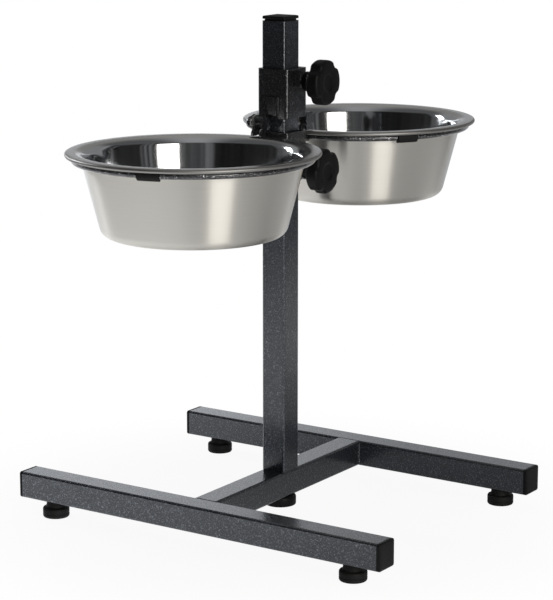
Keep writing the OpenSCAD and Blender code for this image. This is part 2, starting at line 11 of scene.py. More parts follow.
import bmesh
import bpy
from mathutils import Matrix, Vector


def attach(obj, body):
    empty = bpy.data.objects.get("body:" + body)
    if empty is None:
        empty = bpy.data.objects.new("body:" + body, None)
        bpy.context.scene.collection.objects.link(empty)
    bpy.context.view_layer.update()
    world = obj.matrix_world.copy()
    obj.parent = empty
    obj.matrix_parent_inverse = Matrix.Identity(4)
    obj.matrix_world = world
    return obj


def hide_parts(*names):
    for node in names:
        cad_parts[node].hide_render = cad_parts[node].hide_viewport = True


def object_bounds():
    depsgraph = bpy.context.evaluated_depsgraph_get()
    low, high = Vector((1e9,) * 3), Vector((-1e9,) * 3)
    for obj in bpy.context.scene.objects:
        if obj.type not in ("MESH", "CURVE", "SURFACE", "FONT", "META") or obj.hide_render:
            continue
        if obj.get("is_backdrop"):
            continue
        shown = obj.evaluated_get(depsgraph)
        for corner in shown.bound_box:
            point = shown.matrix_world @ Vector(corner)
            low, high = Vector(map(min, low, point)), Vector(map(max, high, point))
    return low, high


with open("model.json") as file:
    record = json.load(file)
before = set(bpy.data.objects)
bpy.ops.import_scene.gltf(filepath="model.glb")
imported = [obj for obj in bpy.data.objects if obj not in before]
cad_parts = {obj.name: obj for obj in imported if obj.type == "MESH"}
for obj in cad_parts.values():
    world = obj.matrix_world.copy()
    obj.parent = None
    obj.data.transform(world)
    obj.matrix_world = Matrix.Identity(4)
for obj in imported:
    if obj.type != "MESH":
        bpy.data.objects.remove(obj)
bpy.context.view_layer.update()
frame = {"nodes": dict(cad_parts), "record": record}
nodes = frame["nodes"]
scene = bpy.context.scene
MM = 0.001

# %% [markdown]
# ## Camera
# The camera stands at the front bowl's end, on the side of the knobs, a little over two metres away and a head above
# the rims. It could be set by eye, but then every outline would be a little off, so its place was worked out from
# the edges of the tubes and the rims. A long lens keeps the near and far skid almost parallel.

# %% Camera
CAMERA_PLACE = (-1.70517, -1.13372, 0.64082)
CAMERA_LOOK = Vector((0.81346, 0.54296, -0.20852))
SENSOR_MM, LENS_MM, FAR_CLIP = 36, 134.27, 50

camera_data = bpy.data.cameras.new("camera")
camera_data.sensor_width = SENSOR_MM
camera_data.lens = LENS_MM
camera_data.clip_end = FAR_CLIP
camera = bpy.data.objects.new("camera", camera_data)
camera.location = CAMERA_PLACE
camera.rotation_mode = "QUATERNION"
camera.rotation_quaternion = CAMERA_LOOK.to_track_quat("-Z", "Y")
scene.collection.objects.link(camera)
scene.camera = camera
scene.view_settings.view_transform = "Standard"
print("camera lens:", camera_data.lens)

# %% [markdown]
# ## Node helpers
# Every finish is a small tree of shader nodes. It could be written out socket by socket, but the few steps that
# come back in each tree would hide what is special to it. So these helpers add a node, set its values, join it to
# others and start a group or a material.


# %% Node helpers
def set_values(node, **values):
    """Sets properties of a node by name, or sockets where it has no such property."""
    for name, value in values.items():
        if hasattr(node, name):
            setattr(node, name, value)
        else:
            node.inputs[name.replace("_", " ")].default_value = value
    return node


def add(tree, kind, **values):
    return set_values(tree.nodes.new(kind), **values)


def join(tree, start, end):
    """Joins a socket to an input, or sets the input to a plain value."""
    if isinstance(start, bpy.types.NodeSocket):
        tree.links.new(start, end)
    else:
        end.default_value = start


def new_group(name, kind, inputs, outputs):
    """Makes a node group with named sockets. An input is (name, socket type, default)."""
    group = bpy.data.node_groups.new(name, kind)
    for label, socket, value in inputs:
        made = group.interface.new_socket(label, in_out="INPUT", socket_type=socket)
        if value is not None:
            made.default_value = value
    for label, socket in outputs:
        group.interface.new_socket(label, in_out="OUTPUT", socket_type=socket)
    return group, group.nodes.new("NodeGroupInput"), group.nodes.new("NodeGroupOutput")


def new_material(name):
    material = bpy.data.materials.new(name)
    material.use_nodes = True
    tree = material.node_tree
    return material, tree, tree.nodes["Principled BSDF"]


print("made:", [helper.__name__ for helper in (set_values, add, join, new_group, new_material)])

# %% [markdown]
# ## Helpers for values
# A sum, a soft change between two values, a noise and a mix come back in many trees. Each could be three or four
# lines at its place. As helpers they are one word each and take a plain number where no socket is needed, so a
# finish below reads as a list of what it is made of.


# %% Helpers for values
def calc(tree, operation, *values):
    """A Math node on sockets or plain numbers."""
    node = add(tree, "ShaderNodeMath", operation=operation)
    for value, socket in zip(values, node.inputs):
        join(tree, value, socket)
    return node.outputs[0]


def fade(tree, value, low, high, at_low=0.0, at_high=1.0):
    """Runs smoothly from one value to the other while a socket goes from low to high."""
    change = add(tree, "ShaderNodeMapRange", interpolation_type="SMOOTHSTEP")
    for start, name in ((value, "Value"), (low, "From Min"), (high, "From Max"), (at_low, "To Min"),
                        (at_high, "To Max")):
        join(tree, start, change.inputs[name])
    return change.outputs["Result"]


def reach_along(tree, place, direction):
    """How far a place or a way goes in a direction."""
    dot = add(tree, "ShaderNodeVectorMath", operation="DOT_PRODUCT")
    join(tree, place, dot.inputs[0])
    join(tree, direction, dot.inputs[1])
    return dot.outputs["Value"]


def noise(tree, place, **values):
    node = add(tree, "ShaderNodeTexNoise", **values)
    join(tree, place, node.inputs["Vector"])
    return node


def mix_shaders(tree, share, first, second):
    mix = add(tree, "ShaderNodeMixShader")
    join(tree, share, mix.inputs["Fac"])
    join(tree, first.outputs[0], mix.inputs[1])
    join(tree, second.outputs[0], mix.inputs[2])
    return mix


print("made:", [helper.__name__ for helper in (calc, fade, reach_along, noise, mix_shaders)])

# %% [markdown]
# ## Sky
# The ground is white, so the world is white to the camera. Metal shows what stands around it, so to all else the
# world is a plain room: a pale wall behind the stand, a pale ceiling, and a dim room with a few grey uprights on the
# camera's side. It could be a picture of a room or real walls. A ramp over the angle needs neither, and its stops
# set the stripes in the bowls.

# %% Room
# Degrees to the right of the camera, and the strength there
ROOM = ((-108, 0.12), (-100, 0.03), (-57, 0.014), (-22.3, 0.014), (-20.5, 0.15), (-11.5, 0.15), (-9.7, 0.08),
        (14, 0.08), (40, 0.03), (49, 0.03), (49.4, 0.18), (52.4, 0.18), (52.8, 0.03), (55.2, 0.03), (55.6, 0.17),
        (58.0, 0.17), (58.4, 0.03), (61.2, 0.03), (61.8, 0.13), (63.6, 0.13), (64.2, 0.025), (98, 0.03), (108, 0.30))
ROOM_TURN = math.radians(146.3)
BAND_SCALE, BAND_RANGE, BAND_LEVEL = 64.0, (0.40, 0.62), (0.8, 1.3)


def build_room(tree, way):
    """Dim room round the camera. One end of the ramp to the other is a full turn, with the camera in its middle."""
    face_camera = add(tree, "ShaderNodeVectorRotate", rotation_type="Z_AXIS", Angle=ROOM_TURN)
    join(tree, way, face_camera.inputs["Vector"])
    turn = add(tree, "ShaderNodeTexGradient", gradient_type="RADIAL")
    join(tree, face_camera.outputs["Vector"], turn.inputs["Vector"])
    ramp = add(tree, "ShaderNodeValToRGB")
    for place, _ in ROOM[1:-1]:
        ramp.color_ramp.elements.new(0.5 + place / 360)
    for stop, (place, level) in zip(ramp.color_ramp.elements, ROOM):
        stop.position, stop.color = 0.5 + place / 360, (level, level, level, 1)
    join(tree, turn.outputs["Fac"], ramp.inputs["Fac"])
    bands = add(tree, "ShaderNodeTexNoise", noise_dimensions="1D", Scale=BAND_SCALE, Detail=1.0)
    join(tree, turn.outputs["Fac"], bands.inputs["W"])
    strength = add(tree, "ShaderNodeMapRange", From_Min=BAND_RANGE[0], From_Max=BAND_RANGE[1],
                   To_Min=BAND_LEVEL[0], To_Max=BAND_LEVEL[1])
    join(tree, bands.outputs["Fac"], strength.inputs["Value"])
    return calc(tree, "MULTIPLY", ramp.outputs["Color"], strength.outputs["Result"])


print("room stops:", len(ROOM))

# %% Sky
WALL_SIDE, LEFT_SIDE = Vector((0.832, 0.555, 0.0)), Vector((-0.555, 0.832, 0.0))
WALL, CEILING, CEILING_SIDES = 0.30, 0.40, 0.3
WALL_EDGE, CEILING_EDGE, CEILING_SPREAD = (0.36, 0.74), (0.50, 0.66), (0.05, 0.55)
ROOM_GREY, PLAIN_WHITE = (0.8, 0.8, 0.8, 1), (1, 1, 1, 1)


def build_sky(tree):
    """White to the camera. Elsewhere it runs from the dim room in front of the stand to the wall and the ceiling."""
    tree.nodes.clear()
    way = add(tree, "ShaderNodeTexCoord").outputs["Generated"]
    wall = fade(tree, reach_along(tree, way, WALL_SIDE), *WALL_EDGE, build_room(tree, way), WALL)
    sideways = calc(tree, "ABSOLUTE", reach_along(tree, way, LEFT_SIDE))
    ceiling = fade(tree, sideways, *CEILING_SPREAD, CEILING, CEILING_SIDES * CEILING)
    split = add(tree, "ShaderNodeSeparateXYZ")
    join(tree, way, split.inputs[0])
    room = add(tree, "ShaderNodeBackground", Color=ROOM_GREY)
    join(tree, fade(tree, split.outputs["Z"], *CEILING_EDGE, wall, ceiling), room.inputs["Strength"])
    white = add(tree, "ShaderNodeBackground", Color=PLAIN_WHITE, Strength=1.0)
    path = add(tree, "ShaderNodeLightPath")
    seen = calc(tree, "MAXIMUM", path.outputs["Is Camera Ray"], path.outputs["Is Transmission Ray"])
    final = mix_shaders(tree, seen, room, white)
    join(tree, final.outputs[0], add(tree, "ShaderNodeOutputWorld").inputs["Surface"])


world = bpy.data.worlds.new("studio")
scene.world = world
world.use_nodes = True
build_sky(world.node_tree)
print("world:", world.name, "nodes:", len(world.node_tree.nodes))

# %% [markdown]
# ## Lamps
# A window to the right of the camera gives the bowls their white patch and their warm streak, and a smaller cool box
# on the left lights the other side of the base. Sun or point lamps would give hard dots on the steel, so both are
# area lamps, which the steel mirrors as soft shapes.

# %% Lamps
# Name, place, target, width and height, power and tint
LAMPS = (("window", (-1.21, -2.30, 0.85), (0, 0, 0.85), (1.1, 1.6), 30, (1.0, 0.965, 0.91)),
         ("box_left", (0.10, 2.42, 1.1), (0, 0, 0.3), (0.45, 0.8), 16, (0.95, 0.975, 1.0)))


def soft_box(name, place, target, size, power, tint):
    """A lamp with a flat face that looks at the target."""
    lamp = bpy.data.lights.new(name, "AREA")
    lamp.shape = "RECTANGLE"
    lamp.size, lamp.size_y = size
    lamp.energy = power
    lamp.color = tint
    held = bpy.data.objects.new(name, lamp)
    held.location = place
    held.rotation_mode = "QUATERNION"
    held.rotation_quaternion = (Vector(target) - Vector(place)).to_track_quat("-Z", "Y")
    scene.collection.objects.link(held)


for lamp_row in LAMPS:
    soft_box(*lamp_row)

# %% [markdown]
# ## Floor and back sheet
# The stand is on a white ground with hardly any shadow. More light would wash out the dark coat, so the floor glows
# white to the camera instead and keeps only a faint shadow near the stand. In a mirror it is a white sheet on a dark
# floor, shaded beside the stand. A low sheet behind the stand, which the camera can't see, gives the tops of the
# tubes their pale, slightly blue sheen.

# %% Sheet material
SHADE_SPOT = Vector((0.20, -0.17, 0.0))
SKY_TINT = (0.98, 1.01, 1.06, 1)
MATT_WHITE, DARK_FLOOR = (0.88, 0.88, 0.88, 1), (0.02, 0.02, 0.022, 1)
# From and to in metres, and the share of the second shader at each end
FAINT_SHADOW, SHADE, FLOOR_END = (0.16, 0.40, 0.93, 1.0), (0.14, 0.46, 0.62, 0.0), (0.75, 1.65, 0.0, 0.95)
FLOOR_GLOW, BACK_GLOW = (-0.10, 0.45, 0.55, 1.0), (-0.25, 0.22, 0.50, 1.0)


def build_sheet_material(name, standing):
    """One look for the camera, one for mirrors and plain white for all other light."""
    material, tree, _ = new_material(name)
    tree.nodes.clear()
    spot = add(tree, "ShaderNodeNewGeometry").outputs["Position"]
    away = add(tree, "ShaderNodeVectorMath", operation="LENGTH")
    join(tree, spot, away.inputs[0])
    left = reach_along(tree, spot, LEFT_SIDE)
    matt = add(tree, "ShaderNodeBsdfDiffuse", Color=MATT_WHITE)
    dark = add(tree, "ShaderNodeBsdfDiffuse", Color=DARK_FLOOR)
    glow = add(tree, "ShaderNodeEmission", Color=SKY_TINT if standing else PLAIN_WHITE, Strength=1.0)
    shown = mix_shaders(tree, fade(tree, away.outputs["Value"], *FAINT_SHADOW), matt, glow)
    if standing:
        mirrored = mix_shaders(tree, fade(tree, left, *BACK_GLOW), dark, glow)
    else:
        sheet = mix_shaders(tree, fade(tree, left, *FLOOR_GLOW), matt, glow)
        beside = add(tree, "ShaderNodeVectorMath", operation="DISTANCE")
        join(tree, spot, beside.inputs[0])
        join(tree, SHADE_SPOT, beside.inputs[1])
        shaded = mix_shaders(tree, fade(tree, beside.outputs["Value"], *SHADE), sheet, dark)
        mirrored = mix_shaders(tree, fade(tree, away.outputs["Value"], *FLOOR_END), shaded, dark)
    path = add(tree, "ShaderNodeLightPath")
    lit = mix_shaders(tree, path.outputs["Is Glossy Ray"], matt, mirrored)
    final = mix_shaders(tree, path.outputs["Is Camera Ray"], lit, shown)
    join(tree, final.outputs[0], add(tree, "ShaderNodeOutputMaterial").inputs["Surface"])
    return material


floor_white, back_white = build_sheet_material("floor_white", False), build_sheet_material("back_white", True)
print("sheets:", floor_white.name, back_white.name)

# %% Floor and back sheet
FLOOR_HALF, FLOOR_Z = 6, -0.0004
BACK_AWAY, BACK_HALF, BACK_TOP = 1.1, 1.4, Vector((0, 0, 0.50))


def stage_plane(name, corners, material, seen):
    mesh = bpy.data.meshes.new(name)
    mesh.from_pydata(corners, [], [(0, 1, 2, 3)])
    mesh.materials.append(material)
    plane = bpy.data.objects.new(name, mesh)
    plane.visible_camera = seen
    scene.collection.objects.link(plane)
    plane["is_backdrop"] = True


floor_corners = [(sx * FLOOR_HALF, sy * FLOOR_HALF, FLOOR_Z) for sx, sy in ((-1, -1), (1, -1), (1, 1), (-1, 1))]
stage_plane("floor", floor_corners, floor_white, True)
back_left, back_right = [WALL_SIDE * BACK_AWAY + LEFT_SIDE * side for side in (BACK_HALF, -BACK_HALF)]
back_corners = [back_left, back_right, back_right + BACK_TOP, back_left + BACK_TOP]
stage_plane("back_sheet", back_corners, back_white, False)
print("stage: floor, back_sheet")

# %% [markdown]
# ## Hammered dimples
# The tubes carry a hammered coat: close, shallow dimples with pale flecks of metal between them. A picture of the
# coat would show its tiles, so cell noise gives the dimples, a finer layer the flecks, and slow noise lets the tone
# wander as a real coat does. It is a group, because the tubes, the sleeves and the rods each set it differently.

# %% Hammered dimples
CELL_WARP, CELL_LIFT = 0.0012, 0.55
FLECK_LOW, FLECK_HIGH = 1.25, 1.12


def build_hammer_group():
    group, start, end = new_group(
        "hammered_dimples", "ShaderNodeTree",
        [("Scale", "NodeSocketFloat", 780.0), ("Fleck Share", "NodeSocketFloat", 0.5)],
        [("Height", "NodeSocketFloat"), ("Fleck", "NodeSocketFloat"), ("Drift", "NodeSocketFloat")])
    place = add(group, "ShaderNodeTexCoord").outputs["Object"]
    warp = add(group, "ShaderNodeMixRGB", blend_type="ADD", Fac=CELL_WARP)
    join(group, place, warp.inputs["Color1"])
    join(group, noise(group, place, Scale=260.0, Detail=1.0).outputs["Color"], warp.inputs["Color2"])
    cells = add(group, "ShaderNodeTexVoronoi", feature="SMOOTH_F1", Smoothness=0.35)
    join(group, warp.outputs["Color"], cells.inputs["Vector"])
    join(group, start.outputs["Scale"], cells.inputs["Scale"])
    join(group, cells.outputs["Distance"], end.inputs["Height"])
    fine = noise(group, place, Scale=1350.0, Detail=2.0, Roughness=0.6)
    rise = calc(group, "MULTIPLY_ADD", cells.outputs["Distance"], CELL_LIFT, fine.outputs["Fac"])
    low = calc(group, "SUBTRACT", FLECK_LOW, start.outputs["Fleck Share"])
    join(group, fade(group, rise, low, FLECK_HIGH), end.inputs["Fleck"])
    join(group, noise(group, place, Scale=34.0, Detail=3.0).outputs["Fac"], end.inputs["Drift"])
    return group


hammered = build_hammer_group()
print("group:", hammered.name)

# %% [markdown]
# ## Fine grain
# Moulded plastic and rubber have a very fine grain, and plated steel has small patches of gloss. One noise could be
# put into each of these finishes. As one group it is made once, and each finish sets its own scale.


# %% Fine grain
def build_grain_group():
    group, start, end = new_group(
        "moulded_grain", "ShaderNodeTree",
        [("Scale", "NodeSocketFloat", 1500.0)],
        [("Height", "NodeSocketFloat"), ("Drift", "NodeSocketFloat")])
    place = add(group, "ShaderNodeTexCoord").outputs["Object"]
    fine = noise(group, place, Detail=2.0, Roughness=0.65)
    join(group, start.outputs["Scale"], fine.inputs["Scale"])
    join(group, fine.outputs["Fac"], end.inputs["Height"])
    join(group, noise(group, place, Scale=60.0, Detail=4.0).outputs["Fac"], end.inputs["Drift"])
    return group


grained = build_grain_group()
print("group:", grained.name)

# %% [markdown]
# ## Coats
# The coat is dark and half glossy, so it is grey where it lies open to the light and nearly black where it faces the
# dim side of the room. Paint could be a plain dark colour, but then it would lose the sparkle of the metal in it. So
# it is made as a dark metal under a clear coat. The flecks are faintest on the tubes and brightest on the rods,
# where their pale colour is a painted glint.


# %% Finish helpers
def mix_colours(tree, share, first, second):
    mix = add(tree, "ShaderNodeMix", data_type="RGBA")
    join(tree, share, mix.inputs["Factor"])
    join(tree, first, mix.inputs["A"])
    join(tree, second, mix.inputs["B"])
    return mix.outputs["Result"]


def mix_tones(tree, share, colour, tones):
    """Runs from a darker to a lighter tone of one colour."""
    return mix_colours(tree, share, *[(*[min(c * tone, 1) for c in colour], 1) for tone in tones])


def gloss_from(tree, share, surface, low, high):
    gloss = add(tree, "ShaderNodeMapRange", To_Min=low, To_Max=high)
    join(tree, share, gloss.inputs["Value"])
    join(tree, gloss.outputs["Result"], surface.inputs["Roughness"])


def bump_from(tree, height, surface, strength, distance):
    bump = add(tree, "ShaderNodeBump", Strength=strength, Distance=distance)
    join(tree, height, bump.inputs["Height"])
    join(tree, bump.outputs["Normal"], surface.inputs["Normal"])


print("made:", [helper.__name__ for helper in (mix_colours, mix_tones, gloss_from, bump_from)])

# %% Coats
COAT_TONES, COAT_SPREAD, DIMPLE_DEPTH = (0.8, 1.2), 0.06, 0.0004


def hammered_coat(name, dark, fleck, share, roughness, bump):
    """Dark coat with pale flecks. The flecks are a little smoother than the ground between them."""
    material, tree, surface = new_material(name)
    dimples = add(tree, "ShaderNodeGroup", node_tree=hammered, Fleck_Share=share)
    ground = mix_tones(tree, dimples.outputs["Drift"], dark, COAT_TONES)
    colour = mix_colours(tree, dimples.outputs["Fleck"], ground, (*fleck, 1))
    join(tree, colour, surface.inputs["Base Color"])
    gloss_from(tree, dimples.outputs["Fleck"], surface, roughness + COAT_SPREAD, roughness - COAT_SPREAD)
    set_values(surface, Metallic=0.9, Coat_Weight=1.0, Coat_Roughness=0.18)
    bump_from(tree, dimples.outputs["Height"], surface, bump, DIMPLE_DEPTH)
    return material


coat_grey = hammered_coat("hammered_coat", (0.045, 0.051, 0.062), (0.208, 0.226, 0.260),
                          share=0.48, roughness=0.34, bump=0.6)
# Painted glint: the rod's flecks are much paler than the sleeves', standing in for the window's light on the rod
coat_rod_painted_glint = hammered_coat("black_coat_rod_painted_glint", (0.036, 0.037, 0.041), (0.72, 0.725, 0.76),
                         share=0.42, roughness=0.18, bump=1.2)
# Painted shade: the holders' coat is the tubes' coat with a darker ground
coat_black_painted_shade = hammered_coat("black_coat", (0.040, 0.041, 0.045), (0.29, 0.294, 0.315),
                           share=0.42, roughness=0.30, bump=0.7)
print("coats:", coat_grey.name, coat_rod_painted_glint.name, coat_black_painted_shade.name)

# %% [markdown]
# ## Plastic and rubber
# Caps and knobs are moulded plastic, feet and clips are rubber. Both are black, so they are told apart by gloss and
# grain alone. A plain black would look flat, so the tone wanders a little too.

# %% Plastic and rubber
MOULDED_TONES, MOULDED_SPREAD, GRAIN_DEPTH = (0.75, 1.3), 0.07, 0.0002


def moulded(name, colour, scale, roughness, strength, specular):
    """Plain moulded black with a fine grain."""
    material, tree, surface = new_material(name)
    grain = add(tree, "ShaderNodeGroup", node_tree=grained, Scale=scale)
    tone = mix_tones(tree, grain.outputs["Drift"], colour, MOULDED_TONES)
    join(tree, tone, surface.inputs["Base Color"])
    gloss_from(tree, grain.outputs["Drift"], surface, roughness - MOULDED_SPREAD, roughness + MOULDED_SPREAD)
    set_values(surface, Specular_IOR_Level=specular)
    bump_from(tree, grain.outputs["Height"], surface, strength, GRAIN_DEPTH)
    return material


plastic_black = moulded("black_plastic", (0.006, 0.006, 0.0065),
                        scale=1500.0, roughness=0.45, strength=0.25, specular=0.18)
rubber_black = moulded("black_rubber", (0.007, 0.007, 0.007),
                       scale=1100.0, roughness=0.65, strength=0.35, specular=0.3)
print("moulded:", plastic_black.name, rubber_black.name)

# %% [markdown]
# ## Plated steel
# Screws and washers are zinc plated, and the cap nuts have a darker, glossier plating. One roughness would make them
# look like mirrors, so the gloss wanders in small patches, as plating does.

# %% Plated steel
PLATED_TONES = (0.88, 1.0)


def plated(name, colour, scale, gloss):
    """Plated steel. Gloss is its lowest and its highest roughness."""
    material, tree, surface = new_material(name)
    grain = add(tree, "ShaderNodeGroup", node_tree=grained, Scale=scale)
    tone = mix_tones(tree, grain.outputs["Height"], colour, PLATED_TONES)
    join(tree, tone, surface.inputs["Base Color"])
    gloss_from(tree, grain.outputs["Drift"], surface, *gloss)
    set_values(surface, Metallic=1.0)
    return material


zinc = plated("zinc_steel", (0.60, 0.60, 0.58), scale=900.0, gloss=(0.28, 0.48))
nut_polish = plated("polished_nut", (0.14, 0.14, 0.145), scale=500.0, gloss=(0.14, 0.26))
print("plated:", zinc.name, nut_polish.name)

# %% [markdown]
# ## Stainless steel
# The bowls are pressed and then brushed on a lathe, so fine lines run round them and pull each highlight into a
# streak. Real grooves would need millions of faces. Instead, stretched noise on the bowl's own map gives the lines,
# and the anisotropy of the shader the streak. The outside is satin, the rolled edge dull and painted darker as
# painted shade, the lip brighter and the inside brightest.

# %% Stainless steel
STEEL_TONES, LINES_ROUND, LINE_DEPTH = (0.90, 1.06), 14.0, 0.00004


def stainless(name, colour, gloss, lines, bump, stretch):
    """Pressed stainless. Its lines run along the U of the map. Gloss is its lowest and its highest roughness."""
    material, tree, surface = new_material(name)
    spot = add(tree, "ShaderNodeUVMap", uv_map="lathe")
    stretch_map = add(tree, "ShaderNodeMapping", Scale=(LINES_ROUND, lines, 1.0))
    join(tree, spot.outputs["UV"], stretch_map.inputs["Vector"])
    brushed = noise(tree, stretch_map.outputs["Vector"], Scale=1.0, Detail=3.0, Roughness=0.6).outputs["Fac"]
    join(tree, mix_tones(tree, brushed, colour, STEEL_TONES), surface.inputs["Base Color"])
    gloss_from(tree, brushed, surface, *gloss)
    set_values(surface, Metallic=1.0, Anisotropic=stretch, Anisotropic_Rotation=0.25)
    way = add(tree, "ShaderNodeTangent", direction_type="UV_MAP", uv_map="lathe")
    join(tree, way.outputs["Tangent"], surface.inputs["Tangent"])
    bump_from(tree, brushed, surface, bump, LINE_DEPTH)
    return material


steel_satin = stainless("stainless_satin", (0.76, 0.74, 0.69), (0.29, 0.36), lines=2600.0, bump=0.15, stretch=0.97)
# Painted shade: the rolled edge is the same steel, painted darker so that it shows little of the window
steel_edge_painted_shade = stainless("stainless_edge_painted_shade", (0.38, 0.376, 0.366), (0.42, 0.52), lines=2000.0, bump=0.10, stretch=0.0)
steel_lip = stainless("stainless_lip", (0.70, 0.695, 0.68), (0.18, 0.28), lines=2000.0, bump=0.10, stretch=0.5)
steel_bright = stainless("stainless_bright", (0.70, 0.715, 0.735), (0.06, 0.14), lines=1400.0, bump=0.06, stretch=0.3)
BOWL_FINISHES = [steel_satin, steel_edge_painted_shade, steel_lip, steel_bright]
print("stainless:", [steel.name for steel in BOWL_FINISHES])

# %% [markdown]
# ## Finishes on the solids
# The tubes, sleeves, lugs and arms have the right shape already. They could be modelled again, but nothing would be
# gained, so they stay and only take a finish. A solid keeps its mesh and its place: the finish goes into its
# material slot.

# %% Finishes on the solids
SOLID_FINISH = {
    "hammered_coat": coat_grey, "black_coat": coat_black_painted_shade, "black_plastic": plastic_black,
    "black_rubber": rubber_black, "zinc_steel": zinc, "polished_nut": nut_polish, "stainless": steel_satin,
}
for part in frame["record"]["subparts"]:
    solid = nodes[part["node"]]
    solid.data.materials.clear()
    solid.data.materials.append(SOLID_FINISH[part["material_slot"]])

# %% [markdown]
# ## Lofted pieces
# Caps, knobs, nuts, feet and bowls are all a row of closed loops with skin between them. They could be cut from
# primitives with bevels, but loops give every soft edge its exact radius. One helper skins the loops and one makes a
# piece of them: it sets the finish, says what the piece replaces and which body it rides on. The loops
# are given in the frame of the stand, so a piece needs no move afterwards.


# %% Loft helpers
def skin(bm, loops):
    """Joins loops of equal length with quads. A loop of one point closes the end to a point."""
    rows = [[bm.verts.new(p) for p in loop] for loop in loops]
    for a, b in zip(rows, rows[1:]):
        count = max(len(a), len(b))
        for i in range(count):
            j = (i + 1) % count
            corners = [a[i % len(a)], a[j % len(a)], b[j % len(b)], b[i % len(b)]]
            bm.faces.new(list(dict.fromkeys(corners))).smooth = True
    return rows


def add_to_stand(name, mesh, body, slot, replaced):
    piece = bpy.data.objects.new(name, mesh)
    scene.collection.objects.link(piece)
    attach(piece, body)
    if replaced:
        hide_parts(*replaced)
    return piece


def finish_piece(name, bm, body, slot, finishes, replaced, crease):
    """Turns a bmesh into a piece of the stand. Edges sharper than the crease, in degrees, stay sharp."""
    bmesh.ops.recalc_face_normals(bm, faces=bm.faces)
    mesh = bpy.data.meshes.new(name)
    bm.to_mesh(mesh)
    bm.free()
    mesh.set_sharp_from_angle(angle=math.radians(crease))
    for material in finishes:
        mesh.materials.append(material)
    return add_to_stand(name, mesh, body, slot, replaced)


print("made:", [helper.__name__ for helper in (skin, add_to_stand, finish_piece)])

# %% [markdown]
# ## Loops and places
# Turned pieces are circles stacked along an axis that points up or along the skids. A piece could be modelled
# upright and then turned, but its turn would have to be applied to the mesh. So a small function maps the piece's
# own points into the stand while they are drawn.


# %% Loops and places
def circle_loop(place, radius, height, count, start=0.0):
    """Points of a level circle. Place maps (x, y, z) of the piece into the stand."""
    angles = [start + 2 * math.pi * i / count for i in range(count)]
    return [place(radius * math.cos(a), radius * math.sin(a), height) for a in angles]


def lathe_loops(place, profile, count, unit=1.0):
    """A loop for each (radius, height). Radius 0 gives the point that closes an end."""
    return [[place(0, 0, h * unit)] if r == 0 else circle_loop(place, r * unit, h * unit, count)
            for r, h in profile]


def along_minus_y(x, y, z):
    """A piece drawn along its own +Z, turned to point along -Y from the point given."""
    return lambda a, b, c: Vector((x + a, y - c, z + b))


def along_plus_y(x, y, z):
    return lambda a, b, c: Vector((x - a, y + c, z + b))


def along_plus_z(x, y, z):
    return lambda a, b, c: Vector((x + a, y + b, z + c))


QUARTER, HALF = math.pi / 2, math.pi
print("made:", [h.__name__ for h in (circle_loop, lathe_loops, along_minus_y, along_plus_y, along_plus_z)])

# %% [markdown]
# ## Bowls
# A bowl is pressed from thin sheet: a flat floor, a leaning wall, a lip turned over the ring and an edge rolled
# under. A Screw modifier could turn its profile, but would give no map and one finish. So the profile is drawn once
# as points of radius and height, and turned here. The map along it lets the steel's lines run round the bowl, and
# its rows say where the satin outside, the dull edge with its painted shade, the lip and the bright inside begin.

# %% Bowl profile
RING_R, RING_Z, BOWL_OFFSET = 104 * MM, 355.3 * MM, 137 * MM
SEAT_R, SHEET = 5.5 * MM, 0.8 * MM
BOWL_DEPTH, LEAN, CORNER = 74.6 * MM, math.radians(14.4), 11 * MM
LIP_R, LIP_FLAT, BEAD_R, FLARE_R = 112.3 * MM, 0.003, 1.9 * MM, 10 * MM
BEAD_NECK, BEAD_START = 0.95, 0.25
FLOOR_RADII, WALL_STEPS, BEND_STEPS = (0.0, 0.02, 0.05), 8, 12
FLARE_STEPS, BEAD_STEPS = 20, 22


def arc_points(centre, radius, start, stop, steps):
    angles = [start + (stop - start) * i / steps for i in range(steps + 1)]
    return [(centre[0] + radius * math.cos(a), centre[1] + radius * math.sin(a)) for a in angles]


def wall_points(a, b):
    """Points between two others, without the ends."""
    return [(a[0] + (b[0] - a[0]) * i / WALL_STEPS, a[1] + (b[1] - a[1]) * i / WALL_STEPS)
            for i in range(1, WALL_STEPS)]


def bowl_profile():
    """Outside and inside of the sheet as (radius, height over the ring's rod), from the middle of the floor."""
    top = SEAT_R + SHEET
    floor = top - BOWL_DEPTH
    wall_top = (RING_R - SEAT_R * math.cos(LEAN), SEAT_R * math.sin(LEAN))
    middle = (wall_top[0] + ((floor + CORNER - wall_top[1]) * math.sin(LEAN) - CORNER) / math.cos(LEAN),
              floor + CORNER)
    bead = (LIP_R - BEAD_R, top - BEAD_R)
    below = [(r, floor) for r in FLOOR_RADII]
    below += arc_points(middle, CORNER, -QUARTER, -LEAN, BEND_STEPS)
    below += wall_points(below[-1], wall_top)
    below += arc_points((RING_R, 0), SEAT_R, HALF - LEAN, QUARTER, BEND_STEPS)
    below += [(bead[0] - BEAD_R * BEAD_NECK, SEAT_R)]
    below += arc_points(bead, BEAD_R, HALF + BEAD_START, QUARTER + 2 * HALF, BEAD_STEPS)
    above = [(RING_R + LIP_FLAT, top)]
    above += arc_points((RING_R, top - FLARE_R), FLARE_R, QUARTER, HALF - LEAN, FLARE_STEPS)
    inner_bend = arc_points(middle, CORNER - SHEET, -LEAN, -QUARTER, BEND_STEPS)
    above += wall_points(above[-1], inner_bend[0]) + inner_bend
    above += [(r, floor + SHEET) for r in reversed(FLOOR_RADII)]
    return below, above


print("profile points:", sum(len(side) for side in bowl_profile()))

# %% Bowls
BOWL_TURN, BOWL_CREASE = 192, 60
# Rows at which the edge, the lip and the inside begin, counted from the end of the outside
EDGE_ROW, LIP_ROW, INSIDE_ROW = -24, -3, 12


